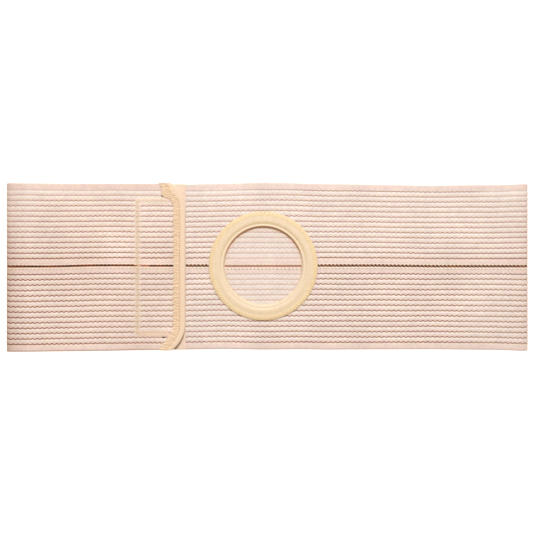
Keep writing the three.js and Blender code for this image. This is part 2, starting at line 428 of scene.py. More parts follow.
bandTones = ("shade", "selvage", "row", "flank", "warm", "dusk")


def flankTone(across, side):
    # painted light: 1 on the flank below a rib's upper groove, which faces the light, -1 above its lower one,
    # which faces away
    down = downRib(across, side)
    if down is None:
        return 0.0
    turn = 2 * tones["flank"]
    if down < turn:
        return math.sin(math.pi * down / turn)
    return -math.sin(math.pi * (down - turn) / (1 - turn))


def selvageTone(across, side):
    # 1 on the plain selvages, less on the pale flank, a painted highlight, that each groove has below it
    below, above = tones["cream"], tones["creamAbove"]
    intoSeam = elastic["seamSelvage"] - across - tones["creamFrom"]
    intoOuter = across - elastic["width"] + elastic["outerSelvage"] - tones["creamFrom"]
    if side > 0:
        return max(ease(intoSeam / below), ease(intoOuter / above))
    return max(ease(intoSeam / above), ease(intoOuter / below))


def grooveTone(x, across, side):
    # how dark the grooves are by their place, 1 being usual
    toEdge = elastic["width"] - across
    tone = tones["ribShade"] * alongTable(tones["edgeTone"][side], toEdge)
    if side < 0:
        return tone * alongTable(tones["lowTone"], x)
    atTop = alongTable(tones["topFade"], x) * alongTable(tones["topReach"], toEdge)
    inCorner = alongTable(tones["cornerFade"], abs(x)) * max(0.0, 1 - toEdge / tones["cornerHeight"])
    return tone * (1 - atTop) * (1 - inCorner)


def duskTone(place, across, side, onFront):
    # painted shade: the folds and the lower edge are darker; and paler spots on the front, one a painted
    # highlight where the flap climbs
    atSide = alongTable(tones["leftDusk"], place.y) if place.x < 0 else tones["rightDusk"]
    tone = alongTable(tones["foldDusk"], belt["reach"] - abs(place.x)) * atSide
    if side < 0:
        atRim = alongTable(tones["rim"], elastic["width"] - across)
        tone = max(tone, alongTable(tones["rimDusk"], place.x) * atRim)
    for (x, y), (reachX, reachY), strength in tones["paleSpots"] if onFront else []:
        tone -= strength * (1 - ease(math.hypot((place.x - x) / reachX, (place.y - y) / reachY)))
    return tone


def warmTone(place):
    # amber shade of the ring's wall
    radius = fromRing(place)
    if radius > tones["warmEnd"]:
        return 0.0
    level, light = tones["warmLean"]
    lit = level + light * (place.y - elastic["ringY"]) / max(radius, 1.0)
    return alongTable(tones["warm"], radius) * lit


def shadeTone(place, along, across, side, outside):
    # how dark the grooves and the seam are
    shade = tones["frontShade"][side] if outside else elastic["inside"]
    if outside and along > alongOf["flap"]:
        shade = tones["flapShade"][side] - stitchedBox["paled"] * pressAt(place.x, place.y)
        if across < tones["seamReach"]:
            shade -= alongTable(stitchedBox["closed"], place.x - stitchedBox["left"])
    groove = grooveTone(place.x, across, side) if outside else tones["ribShade"]
    return shade * (1 + ease((across - tones["seamReach"]) / tones["seamBlend"]) * (groove - 1))


def makeBand(name, side, material, replaced):
    bm = gridAt(columnPlaces(), rowPlaces(side))
    cutRingHole(bm)
    thicken(bm, 1.0)  # the raised copy becomes the loop's outside
    keepFlatPlaces(bm)
    shade, selvage, row, flank, warm, dusk = [bm.verts.layers.float.new(tone) for tone in bandTones]
    for v in bm.verts:
        along, across, outside = v.co.x, v.co.y, v.co.z > 0.5
        half = halfWall(across, side)
        v.co = beltPoint(along, across, side, half if outside else -(1 - (1 - half) * elastic["inside"]))
        v[shade] = shadeTone(v.co, along, across, side, outside)
        v[selvage] = selvageTone(across, side)
        v[row] = 0.0 if side > 0 else tones["rowOutside"] if outside else 1.0
        v[flank] = flankTone(across, side)
        if outside:
            v[dusk] = duskTone(v.co, across, side, v.co.z > belt["frontZ"])
        elif alongOf["back"] < along < alongOf["leftFold"]:
            v[warm] = warmTone(v.co)
    if side < 0:
        bmesh.ops.reverse_faces(bm, faces=bm.faces)
    band = finishPiece(meshFrom(bm, name), material, replaced)


# Thread that laces the bands together, with a row of small stitches below, on both faces of the loop
seam = {
    "period": 3.5,
    "start": 3.0,
    "end": 12.0,
    "laceLean": 0.86,  # a stitch's length along the seam, in periods
    "rowLean": 0.5,
    "jitter": 0.12,
    "laceRadius": 0.24,
    "lace": ((1, 1.4), (-1, 1.5)),  # needle lines: side and distance from the band's edge
    "rowRadius": 0.46,
    "flapRowRadius": 0.38,
    "row": ((-1, 1.5), (-1, 2.4)),
    "ringReach": 46.0,  # the front panel has none nearer to the ring's middle
    "lift": 0.62,
    "laidLift": 1.1,  # highest point of a stitch on the face that lies on the table
    "laidMargin": 5.0,  # which reaches this far into the folds
}
seam["length"] = loopLength - seam["start"] - seam["end"]
seam["count"] = round(seam["length"] / seam["period"])
seam["stitch"] = seam["length"] / seam["count"]


# Materials. One function turns sRGB hex to linear, and one adds a node.
def hexColor(code):
    parts = [int(code[k:k + 2], 16) / 255 for k in (1, 3, 5)]
    linear = [c / 12.92 if c <= 0.04045 else ((c + 0.055) / 1.055) ** 2.4 for c in parts]
    return (*linear, 1.0)


def addNode(tree, kind, *inputs, **settings):
    # inputs go to the sockets in use, in their order; a node as an input stands for its first output in use
    node = tree.nodes.new("ShaderNode" + kind)
    for key in [key for key in settings if key not in node.inputs]:
        setattr(node, key, settings.pop(key))
    wanted = list(zip([socket for socket in node.inputs if socket.enabled], inputs))
    for socket, value in wanted + [(node.inputs[key], value) for key, value in settings.items()]:
        if isinstance(value, bpy.types.Node):
            value = next(output for output in value.outputs if output.enabled)
        if isinstance(value, bpy.types.NodeSocket):
            tree.links.new(value, socket)
        else:
            socket.default_value = value
    return node


def newMaterial(name):
    material = bpy.data.materials.new(name)
    material.use_nodes = True
    material.node_tree.nodes.clear()
    return material, functools.partial(addNode, material.node_tree)


def tintBy(add, color, factor, span, low, high):
    # the colour times a tint, which goes from low to high as the factor goes through its span
    tint = add("Mix", add("MapRange", factor, *span), (*low, 1), (*high, 1), data_type="RGBA")
    return add("VectorMath", color, tint, operation="MULTIPLY")


def grey(level):
    return (level, level, level)


bandPeriod = math.pi / 10  # a wave texture's band at scale 1, in its own units


def knittedElastic():
    # covered-rubber elastic, knitted in ribs: matt pinkish beige, pale on the crests, with dark purplish
    # brown in the wavy grooves, partly its own colour and partly painted shade, painted highlight and
    # shade on the rib flanks, and a brown seam that is painted shadow of the gap over the rubber's brown
    finish = {
        # the dark groove stops are partly the rubber's colour and partly painted shade in the grooves
        "rib": [(0.03, "#40261f"), (0.085, "#a87b65"), (0.15, "#d9c9c0"), (0.3, "#dad3ce"),
                (0.5, "#d7cbc4")],  # shares of a rib's pitch from a groove
        "crest": "#dad3ce",
        "lobe": 0.014,  # the grooves are this much narrower between the cusps
        "ragged": 0.07,  # and uneven
        "raggedLength": 2.6,  # mm, as all sizes below
        # painted light: warmer above a groove, where the rib faces away from the light, whiter below it,
        # where it faces the light
        "flanks": ((1.15, 1.07, 1.02), (1.025, 1.055, 1.085)),  # tints above and below a groove
        "selvage": [(0.0, "#dccec7"), (1.75, "#eae0d6"), (2.5, "#d6c7be"), (3.3, "#ddcec8")],
        # the seam's dark brown is painted shadow of the gap between the bands, over the rubber's own brown
        "seam": "#360e04",
        "seamPale": "#95531f",
        "seamFlap": (1.5, 0.95, 0.45),
        "seamPatch": 16.0,
        "patchSpan": (0.35, 0.65),  # of the noise
        "seamClear": (0.55, 0.475),  # how clear the seam is: by the shade, and anyway
        "seamFade": -1.4,  # how much paler it is by the shade
        "seamFadeFrom": (1.3, 1.8),
        "seamEdge": (0.86, 1.4),
        "seamWander": 0.3,
        "lively": (0.2, 0.8),  # shades between which the wander grows
        "flapCalm": 0.7,  # it wanders less on the flap, by this share
        "flapNarrow": 0.22,
        "flapBlend": 30.0,
        "lowerRow": 0.1,  # only the lower band has needle holes that are clearer than this
        "hole": "#6f452e",
        "holeAt": 2.8,
        "holeEdge": (0.216, 0.72),
        "loop": 1.47,  # knitted loops, drawn twice as coarse as real ones
        "loopSlant": 1.3,
        "loopDepth": 0.16,
        "loopTints": (grey(0.955), grey(1.03)),
        "spots": [(1.7, 3, (0.3, 0.7), grey(0.94), grey(1.06)),  # size, detail, span of the noise and tints
                  (5.0, 3, (0.3, 0.7), grey(0.95), grey(1.04)),
                  (45.0, 3, (0.3, 0.7), grey(0.95), grey(1.05)),
                  (8.0, 1, (0.35, 0.65), (1.0, 0.97, 0.998), (1.0, 1.007, 0.98))],
        "flap": (1.0, 0.97, 0.95),  # the flap's elastic is a little yellower
        "amber": (0.97, 0.89, 0.8),
        # tints of the paler spots and of the painted shade on the folds and the lower edge
        "paleSpots": (1.37, 1.47, 1.53),
        "dusk": (0.63, 0.53, 0.47),
    }
    e = elastic
    material, add = newMaterial("knitted elastic")
    cloth = add("UVMap", uv_map="cloth")
    along, across, _ = add("SeparateXYZ", cloth).outputs
    shade, selvage, row, flank, warm, dusk = [
        add("Attribute", attribute_name=tone).outputs["Fac"] for tone in bandTones]
    # ribs counted from the seam's selvage, held at half a rib in the plain selvages
    rib = add("Math", across, 1 / (e["pitch"] * mm), -e["seamSelvage"] / e["pitch"], operation="MULTIPLY_ADD")
    held = add("Clamp", rib, -0.5, e["ribs"] + 0.5)
    toGroove = add("Math", held, 0.5, operation="PINGPONG")
    turn = add("Math", along, math.pi / (e["scallop"] * mm), operation="MULTIPLY")
    lobe = add("Math", add("Math", turn, operation="SINE"), operation="ABSOLUTE")
    depth = add("Math", lobe, finish["lobe"], toGroove, operation="MULTIPLY_ADD")
    ragged = add("TexNoise", cloth, 1 / (finish["raggedLength"] * mm), 2.0)
    centred = add("Math", ragged, 0.5, operation="SUBTRACT")
    uneven = add("Math", centred, finish["ragged"], depth, operation="MULTIPLY_ADD")
    selvageEnd = finish["selvage"][-1][0]
    fromSeam = add("MapRange", across, 0.0, selvageEnd * mm)
    ramps = []
    for share, rows, end in ((uneven, finish["rib"], 1.0), (fromSeam, finish["selvage"], selvageEnd)):
        ramps.append(add("ValToRGB", share))
        stops = ramps[-1].color_ramp.elements
        stops.remove(stops[1])
        stops[0].position = rows[0][0] / end
        stops[0].color = hexColor(rows[0][1])
        for at, code in rows[1:]:
            stops.new(at / end).color = hexColor(code)
    ribs = add("Mix", shade, hexColor(finish["crest"]), ramps[0], data_type="RGBA")
    # painted highlight below each groove and painted shade above the next
    flanked = tintBy(add, ribs, flank, (-1, 1), *finish["flanks"])
    plain = add("Mix", selvage, flanked, ramps[1], data_type="RGBA")
    # needle holes of the row of stitches below the seam
    stitch = seam["stitch"] * mm
    asideHole = add("Math", across, finish["holeAt"] * mm, operation="SUBTRACT")
    fromStart = add("Math", along, seam["start"] * mm + seam["rowLean"] * stitch, operation="SUBTRACT")
    alongHole = add("Math", fromStart, stitch / 2, operation="PINGPONG")
    toHole = add("VectorMath", add("CombineXYZ", alongHole, asideHole), operation="LENGTH")
    # the dark gap wanders with the lacing: up on one band where it is down on the other
    laceTurn = add("Math", along, 2 * math.pi / stitch, operation="MULTIPLY")
    laceWave = add("Math", laceTurn, operation="SINE")
    reach = finish["seamWander"] * mm
    laceSide = add("MapRange", row, 0.0, finish["lowerRow"], reach, -reach)
    flapFrom, flapTo = [(alongOf["flap"] + sign * finish["flapBlend"]) * mm for sign in (-1, 1)]
    onFlap = add("MapRange", along, flapFrom, flapTo)
    calm = add("Math", onFlap, -finish["flapCalm"], 1.0, operation="MULTIPLY_ADD")
    lively = add("Math", add("MapRange", shade, *finish["lively"]), calm, operation="MULTIPLY")
    wander = add("Math", laceWave, lively, operation="MULTIPLY")
    meander = add("Math", wander, laceSide, across, operation="MULTIPLY_ADD")
    toGap = add("Math", onFlap, finish["flapNarrow"] * mm, meander, operation="MULTIPLY_ADD")
    inHole, inSeam = [
        add("MapRange", way, near * mm, far * mm, 1.0, 0.0, interpolation_type="SMOOTHSTEP")
        for way, (near, far) in ((toHole, finish["holeEdge"]), (toGap, finish["seamEdge"]))]
    holeShade = add("Math", inHole, row, operation="MULTIPLY")
    lined = add("Mix", holeShade, plain, hexColor(finish["hole"]), data_type="RGBA")
    # painted shadow of the gap between the bands, partly the rubber's own brown, more orange on the flap
    clear = add("Math", shade, *finish["seamClear"], operation="MULTIPLY_ADD")
    seamShade = add("Math", inSeam, clear, operation="MULTIPLY")
    seamSpots = add("TexNoise", cloth, 1 / (finish["seamPatch"] * mm), 2.0)
    fade = add("MapRange", seamSpots, *finish["patchSpan"], *finish["seamFadeFrom"])
    paler = add("Math", shade, finish["seamFade"], fade, operation="MULTIPLY_ADD", use_clamp=True)
    seamColor = add("Mix", paler, hexColor(finish["seam"]), hexColor(finish["seamPale"]), data_type="RGBA")
    tintedSeam = tintBy(add, seamColor, onFlap, (0, 1), grey(1), finish["seamFlap"])
    color = add("Mix", seamShade, lined, tintedSeam, data_type="RGBA")
    # slanted loops in columns, two to a rib, which run on through the selvages
    column = add("Math", across, e["pitch"] / 4 * mm, operation="PINGPONG")
    slanted = add("Math", column, finish["loopSlant"], along, operation="MULTIPLY_ADD")
    loopTurn = add("Math", slanted, 2 * math.pi / (finish["loop"] * mm), operation="MULTIPLY")
    loops = add("Math", loopTurn, operation="SINE")
    color = tintBy(add, color, loops, (-1, 1), *finish["loopTints"])
    for size, detail, *tints in finish["spots"]:
        color = tintBy(add, color, add("TexNoise", cloth, 1 / (size * mm), detail), *tints)
    color = tintBy(add, color, onFlap, (0, 1), grey(1), finish["flap"])
    color = tintBy(add, color, warm, (0, 1), grey(1), finish["amber"])
    # painted shade on the folds and the lower edge; paler spots, partly painted highlight
    color = tintBy(add, color, dusk, (-1, 1), finish["paleSpots"], finish["dusk"])
    bump = add("Bump", Height=loops, Strength=0.6, Distance=finish["loopDepth"] * mm)
    surface = {"Base Color": color, "Normal": bump, "Roughness": 0.95, "Specular IOR Level": 0.2,
               "Sheen Weight": 0.08}
    add("OutputMaterial", add("BsdfPrincipled", **surface))
    return material


def mouldedVinyl():
    # soft moulded vinyl: cream, satin, with faint flow marks and a fine grain
    finish = {"color": "#d8c9b0", "shade": "#d2c1a5", "flow": 14.0, "mottle": 2.2, "grain": 0.8,
              "grainDepth": 0.05, "mottling": ((0.3, 0.7), grey(0.96), grey(1.04)),
              "parts": {"flange": "#d4bf99", "lip": "#ddceb5", "tan": "#d0bc99", "collar": "#d09a68"}}
    material, add = newMaterial("moulded cream vinyl")
    place = add("TexCoord").outputs["Object"]
    flow, mottle, grain = [add("TexNoise", place, 1 / (finish[size] * mm), 2.0)
                           for size in ("flow", "mottle", "grain")]
    color = add("Mix", flow, hexColor(finish["color"]), hexColor(finish["shade"]), data_type="RGBA")
    # the ring's tones: the flange's own yellower colour, a painted highlight on the lip, and tan and amber
    # painted shade
    for part, code in finish["parts"].items():
        where = add("Attribute", attribute_name=part).outputs["Fac"]
        color = add("Mix", where, color, hexColor(code), data_type="RGBA")
    color = tintBy(add, color, mottle, *finish["mottling"])
    bump = add("Bump", Height=grain, Strength=0.15, Distance=finish["grainDepth"] * mm)
    surface = {"Base Color": color, "Normal": bump, "Roughness": 0.5, "Specular IOR Level": 0.4}
    add("OutputMaterial", add("BsdfPrincipled", **surface))
    return material


def spunThread(name, code):
    # spun polyester sewing thread: slightly shiny, its twist seen as light and dark along it
    finish = {"twist": 0.9, "tints": (grey(0.88), grey(1.08))}
    material, add = newMaterial(name)
    twist = add("TexNoise", add("TexCoord").outputs["Object"], 1 / (finish["twist"] * mm))
    color = tintBy(add, hexColor(code)[:3], twist, (0, 1), *finish["tints"])
    surface = {"Base Color": color, "Roughness": 0.6, "Sheen Weight": 0.2}
    add("OutputMaterial", add("BsdfPrincipled", **surface))
    return material


def wovenTape(name, code, shade, inner=None):
    # woven tape: matt, with a plain weave drawn at twice its real size so that it shows;
    # inner is the colour of a strip along one edge
    finish = {"threads": 0.8, "threadDepth": 0.1, "inner": (5.4, 6.6)}
    material, add = newMaterial(name)
    cloth = add("UVMap", uv_map="cloth")
    across = add("SeparateXYZ", cloth).outputs["Y"]
    scale = bandPeriod / (finish["threads"] * mm)
    waves = [add("TexWave", cloth, scale, bands_direction=axis).outputs["Fac"] for axis in "XY"]
    weave = add("Math", *waves, operation="MULTIPLY")
    aside = add("MapRange", across, *(edge * mm for edge in finish["inner"]))
    base = add("Mix", aside, hexColor(inner or code), hexColor(code), data_type="RGBA")
    color = add("Mix", weave, hexColor(shade), base, data_type="RGBA")
    bump = add("Bump", Height=weave, Strength=0.4, Distance=finish["threadDepth"] * mm)
    surface = {"Base Color": color, "Normal": bump, "Roughness": 0.85, "Sheen Weight": 0.1}
    add("OutputMaterial", add("BsdfPrincipled", **surface))
    return material


def brushedPile():
    # brushed nylon loop pile: pale peach, soft, matted in patches
    finish = {"color": "#e0cfc0", "shade": "#d0baa9", "mat": 2.5, "fuzz": 0.5, "fuzzDepth": 0.2}
    material, add = newMaterial("brushed nylon pile")
    place = add("TexCoord").outputs["Object"]
    mat, fuzz = [add("TexNoise", place, 1 / (finish[size] * mm), 3.0) for size in ("mat", "fuzz")]
    color = add("Mix", mat, hexColor(finish["shade"]), hexColor(finish["color"]), data_type="RGBA")
    bump = add("Bump", Height=fuzz, Strength=0.8, Distance=finish["fuzzDepth"] * mm)
    surface = {"Base Color": color, "Normal": bump, "Roughness": 0.95, "Sheen Weight": 0.35}
    add("OutputMaterial", add("BsdfPrincipled", **surface))
    return material


def lightTable():
    # white acrylic lit from below: plain white, without shadows
    material, add = newMaterial("lit white acrylic")
    surface = {"Base Color": hexColor("#f4f4f4"), "Roughness": 0.8, "Emission Color": hexColor("#ffffff"),
               "Emission Strength": 0.8}
    add("OutputMaterial", add("BsdfPrincipled", **surface))
    return material


threadColors = {
    "cream": "#ecdbbd", "apricot": "#e8c69e", "buff": "#ecdcb6", "golden": "#efdcc0", "honey": "#cfab78",
    "brown": "#5c341c", "pale": "#fbf4ea", "tan": "#d8ae8a", "russet": "#c4936f", "rust": "#9a6232",
}
threads = {name: spunThread(name + " polyester thread", code) for name, code in threadColors.items()}
elasticMaterial = knittedElastic()
print("materials made")

makeBand("upper_band_knit", 1, elasticMaterial, "upper_band")
makeBand("lower_band_knit", -1, elasticMaterial, "lower_band")

# Moulded ring: its turned section, in radii and in heights above the underside of its flange
ring = {
    "x": elastic["ringX"],
    "y": elastic["ringY"],
    "baseZ": ringLow.z / mm + 2.1,
    "sides": 96,
    "section": [(49.45, -0.2), (49.65, 0.04), (49.62, 0.34), (49.35, 0.6), (48.6, 0.79), (46.5, 0.9),
                (45.0, 0.97), (43.6, 1.04), (42.4, 1.09), (41.2, 1.09), (40.3, 1.02), (39.6, 0.86),
                (38.9, 0.65), (38.3, 0.53), (37.8, 0.5), (37.4, 0.57), (37.0, 0.65), (36.75, 0.61),
                (36.45, 0.38), (36.0, -0.45), (35.1, -2.05), (35.0, -2.35), (35.5, -2.35), (36.1, -2.2),
                (37.0, -1.15), (38.1, -0.1)],
    # tones by radius: the narrowing wall, the thin lip, whose paler tone is a painted highlight, the flange,
    # the fall to the lip and the crown
    "collar": [(35.9, 1.0), (36.3, 0.0)],
    "lip": [(37.2, 1.0), (38.4, 0.0)],
    "flange": [(45.0, 0.0), (47.0, 1.0)],
    "slope": [(37.8, 0.0), (39.3, 1.0), (41.2, 0.0)],
    "roll": [(40.6, 0.0), (42.4, 0.5), (45.0, 0.0)],
    # and by side, 1 being that of the light: the wall, the fall to the lip and the crown get painted shade,
    # amber and tan, on the sides that face away from the light
    "collarSide": [(0.05, 0.0), (0.65, 1.0)],
    "slopeSide": [(-0.3, 0.0), (0.7, 1.0)],
    "rollSide": [(-0.7, 1.0), (0.1, 0.0)],
}


def makeRing():
    bm = bmesh.new()
    points = [bm.verts.new((ring["x"] + r, ring["y"], ring["baseZ"] + z)) for r, z in ring["section"]]
    edges = [bm.edges.new((a, b)) for a, b in zip(points, points[1:] + points[:1])]
    bmesh.ops.spin(bm, geom=points + edges, cent=(ring["x"], ring["y"], 0), axis=(0, 0, 1), angle=2 * math.pi,
                   steps=ring["sides"], use_merge=True)
    bmesh.ops.recalc_face_normals(bm, faces=bm.faces)
    layers = {tone: bm.verts.layers.float.new(tone) for tone in ("collar", "lip", "flange", "tan")}
    for v in bm.verts:
        radius = fromRing(v.co)
        side = (v.co.y - ring["y"]) / radius
        # painted shade where the wall, the fall and the crown face away from the light; the lip's paler tone
        # is a painted highlight
        collar, slope, roll = [alongTable(ring[key], radius) * alongTable(ring[key + "Side"], side)
                               for key in ("collar", "slope", "roll")]
        v[layers["collar"]] = collar
        v[layers["tan"]] = slope + roll
        for key in ("lip", "flange"):
            v[layers[key]] = alongTable(ring[key], radius)
    piece = finishPiece(meshFrom(bm, "belt_ring_moulding"), mouldedVinyl(), "belt_ring")
    rounded = piece.modifiers.new("rounded", "SUBSURF")
    rounded.levels = rounded.render_levels = 2


makeRing()


# Sewing thread: each stitch is a bent length of thread whose ends dive into the cloth
thread = {"sides": 6, "segments": 5, "arch": 1.3}  # arch in radii


def stitchShape():
    # one stitch from x = 0 to 1, with its radius 1 in y and z
    bm = bmesh.new()
    bmesh.ops.create_cone(bm, cap_ends=True, segments=thread["sides"], radius1=1, radius2=1, depth=1)
    bmesh.ops.rotate(bm, verts=bm.verts, cent=(0, 0, 0), matrix=Matrix.Rotation(math.pi / 2, 3, "Y"))
    bmesh.ops.translate(bm, verts=bm.verts, vec=(0.5, 0, 0))
    long = [e for e in bm.edges if abs(e.verts[0].co.x - e.verts[1].co.x) > 0.5]
    bmesh.ops.subdivide_edges(bm, edges=long, cuts=thread["segments"] - 1)
    for v in bm.verts:
        v.co.z += thread["arch"] * (1 - 2 * (2 * v.co.x - 1) ** 4)
    return bm


def joinCopies(name, shape, frames):
    # one mesh of a small shape's copies, placed by matrices in mm
    shape.verts.index_update()
    corners = np.array([(*v.co, 1.0) for v in shape.verts])
    faces = [[v.index for v in f.verts] for f in shape.faces]
    shape.free()
    spots = np.concatenate([corners @ np.array(m).T for m in frames])[:, :3] * mm
    starts = range(0, len(spots), len(corners))
    mesh = bpy.data.meshes.new(name)
    mesh.from_pydata(spots.tolist(), [], [[start + c for c in face] for start in starts for face in faces])
    return mesh


def sew(name, stitches, radius, threadName):
    # stitches are (from, to, up) in mm
    frames = []
    for start, end, up in stitches:
        run = end - start
        across = up.cross(run).normalized() * radius
        place = Matrix((run, across, run.cross(across).normalized() * radius)).transposed().to_4x4()
        place.translation = start
        frames.append(place)
    finishPiece(joinCopies(name, stitchShape(), frames), threads[threadName])


def zigzag(left, right, count, lean=0.5, jitter=0.0):
    # left and right give a point and its up direction at a share of the line
    def uneven(point):
        return point + Vector((random.uniform(-jitter, jitter), random.uniform(-jitter, jitter), 0))

    ups = [left(k / count)[1] for k in range(count)]
    lefts = [uneven(left(k / count)[0]) for k in range(count + 1)]
    rights = [uneven(right(min((k + lean) / count, 1.0))[0]) for k in range(count)]
    for k, up in enumerate(ups):
        yield lefts[k], rights[k], up
        yield rights[k], lefts[k + 1], up


def seamStitches(line):
    laid = seam["laidLift"] - (1 + thread["arch"]) * seam[line + "Radius"]
    laidFrom = alongOf["back"] - seam["laidMargin"]
    laidTo = alongOf["leftFold"] + seam["laidMargin"]

    def needle(face, side, across):
        def place(share):
            along = seam["start"] + seam["length"] * share
            out = stationAt(along)[1]
            onTable = face > 0 and laidFrom < along < laidTo
            lift = min(seam["lift"], laid) if onTable else seam["lift"]
            return beltPoint(along, across, side, face * lift), Vector((out.x, 0, out.y)) * face
        return place

    for face in (1, -1):
        first, second = [needle(face, *place) for place in seam[line]]
        stitches = list(zigzag(first, second, seam["count"], seam[line + "Lean"], seam["jitter"]))
        for k, (a, b, up) in enumerate(stitches[::2]):  # every other stitch runs behind the cloth
            along = seam["start"] + seam["stitch"] * k
            if along > alongOf["rightFold"] or abs(a.x - ring["x"]) > seam["ringReach"]:
                yield a, b, up


def seamPart(stitch):
    start, _, up = stitch
    if start.x > flapEnd["edge"] and start.z > belt["frontZ"]:
        return "front"
    if start.x < flapEnd["edge"] and start.z > belt["foldZ"] and up.z > 0:
        return "flap"
    return "rest"


laces, rows = [{"front": [], "flap": [], "rest": []} for _ in range(2)]
for line, parts in (("lace", laces), ("row", rows)):
    for stitch in seamStitches(line):
        parts[seamPart(stitch)].append(stitch)
sew("centre_seam_lace", laces["front"], seam["laceRadius"], "tan")
sew("centre_seam_flap_lace", laces["flap"], seam["laceRadius"], "rust")
sew("centre_seam_dark_lace", laces["rest"], seam["laceRadius"], "russet")
sew("centre_seam_row", rows["front"] + rows["rest"], seam["rowRadius"], "pale")
sew("centre_seam_flap_row", rows["flap"], seam["flapRowRadius"], "cream")

# Zigzag round the ring's flange
ringSewing = {"inner": (44.9, 0.86), "outer": (49.0, 0.5), "count": 126, "radius": 0.25, "jitter": 0.26}


def ringStitches():
    def needle(radius, z):
        def place(share):
            turn = 2 * math.pi * share
            reach = radius * Vector((math.cos(turn), math.sin(turn)))
            return Vector((ring["x"] + reach.x, ring["y"] + reach.y, ring["baseZ"] + z)), upward
        return place

    s = ringSewing
    return zigzag(needle(*s["inner"]), needle(*s["outer"]), s["count"], jitter=s["jitter"])


sew("ring_thread", ringStitches(), ringSewing["radius"], "buff")

# Dense zigzag along three sides of the hook strip under the flap
boxSewing = {"reach": 2.7, "period": 2.3, "lift": 0.1, "radius": 0.2, "jitter": 0.3}


def onFlapTop(point):
    return point + upward * flapCurl(point.x, point.y)


def boxStitches(sides):
    b, s = stitchedBox, boxSewing
    top = belt["flapZ"] + b["pressedHalf"] + s["lift"]
    corners = [Vector((b[x], b[y], top)) for x, y in (("right", "top"), ("left", "top"), ("left", "bottom"),
                                                      ("right", "bottom"))]
    for k in sides:
        start, run = corners[k], corners[k + 1] - corners[k]
        aside = Vector((-run.y, run.x, 0)).normalized() * s["reach"]

        def needle(sign):
            return lambda share: (onFlapTop(start + run * share + aside * sign), upward)

        yield from zigzag(needle(1), needle(-1), round(run.length / s["period"]), jitter=s["jitter"])


sew("flap_box_thread", boxStitches((0, 1)), boxSewing["radius"], "cream")
sew("flap_box_low_thread", boxStitches((2,)), boxSewing["radius"], "apricot")

# Binding tape, folded over the flap's end. Its section is from the inner edge on top to the flap's edge:
# shares of the tape's width, and heights above the flap's ribs.
binding = {
    "width": 10.8,
    "unfolded": 2.1,  # its whole width, in widths
    "length": 166.0,
    "bend": 16.0,
    "bendAngle": math.radians(37),
    "slant": 24.3,
    "top": tapeHigh.y / mm - 0.6,  # just above the belt's edge
    "bottom": tapeLow.y / mm,
    "tab": [(-95.8, 63.6), (-95.8, 71.4)],  # the turned end at the top
    "wall": 0.55,
    "step": 2.2,
    "cornerSteps": 14,
    "section": [(0.0, 0.1), (0.05, 0.27), (0.2, 0.3), (0.42, 0.3), (0.5, 0.34), (0.58, 0.46), (0.72, 0.56),
                (0.86, 0.52), (0.95, 0.28), (1.0, -0.3)],
    "under": 0.25,  # the tape below the flap
}


def pointOn(path, share):
    # the point at a share of a path's length
    ways = waysAlong(path)
    k, part = stretchAt(ways, share * ways[-1])
    return path[k].lerp(path[k + 1], part)


def bindingEnd(reach, tab):
    # matching points of the tape's outer and inner outline, from the middle of the flap's edge to its end
    def arc(middle, radius, turn):
        return middle + radius * Vector((math.cos(turn), math.sin(turn)))

    b, f = binding, flapEnd
    outer = [Vector((f["edge"], y)) for y in steps(0.0, f["cornerStart"], b["step"])]
    inner = [p - Vector((b["width"], 0)) for p in outer]
    outerMiddle = Vector((f["edge"] - f["corner"], f["cornerStart"]))
    innerMiddle = Vector((f["edge"] - b["width"] - b["bend"], f["cornerStart"]))
    outerTurn = math.asin((reach - f["cornerStart"]) / f["corner"])
    bendEnd = arc(innerMiddle, b["bend"], b["bendAngle"])
    last = [bendEnd, *(Vector(p) for p in tab), Vector((f["edge"] - b["slant"], reach))]
    for k in range(b["cornerSteps"] + 1):
        share = k / b["cornerSteps"]
        outer.append(arc(outerMiddle, f["corner"], outerTurn * share))
        if share < 0.5:
            inner.append(arc(innerMiddle, b["bend"], b["bendAngle"] * share * 2))
        else:
            inner.append(pointOn(last, share * 2 - 1))
    return outer, inner


def bindingLines():
    outer, inner = bindingEnd(binding["top"], binding["tab"])
    lowOuter, lowInner = ([Vector((p.x, -p.y)) for p in reversed(line[1:])]
                          for line in bindingEnd(-binding["bottom"], []))
    return lowOuter + outer, lowInner + inner


outerLine, innerLine = bindingLines()


def makeBinding():
    b = binding
    half = belt["wall"] / 2
    rows = [(share, half + rise) for share, rise in b["section"]]
    rows += [(share, -half - b["under"]) for share, _ in reversed(b["section"][:-1])]
    bm = gridAt(range(len(outerLine)), range(len(rows)))
    cloth = bm.loops.layers.uv.new("cloth")
    for f in bm.faces:
        for loop in f.loops:
            column, row = round(loop.vert.co.x), round(loop.vert.co.y)
            loop[cloth].uv = (column * b["step"] * mm, rows[row][0] * b["width"] * mm)
    for v in bm.verts:
        column, row = round(v.co.x), round(v.co.y)
        share, z = rows[row]
        v.co = onFlapTop(Vector((*innerLine[column].lerp(outerLine[column], share), belt["flapZ"] + z)))
    bmesh.ops.recalc_face_normals(bm, faces=bm.faces)
    # the darker golden inner strip under the zigzag is partly the thread's tone and partly painted shade
    # between the stitches
    material = wovenTape("peach cotton tape", "#e0cfba", "#d6c1aa", "#c9ae88")
    piece = finishPiece(meshFrom(bm, "flap_binding_tape"), material, "flap_binding")
    wall = piece.modifiers.new("tape wall", "SOLIDIFY")
    wall.thickness = b["wall"] * mm
    wall.offset = 0.0
    soft = piece.modifiers.new("soft fold", "SUBSURF")
    soft.levels = soft.render_levels = 2


makeBinding()

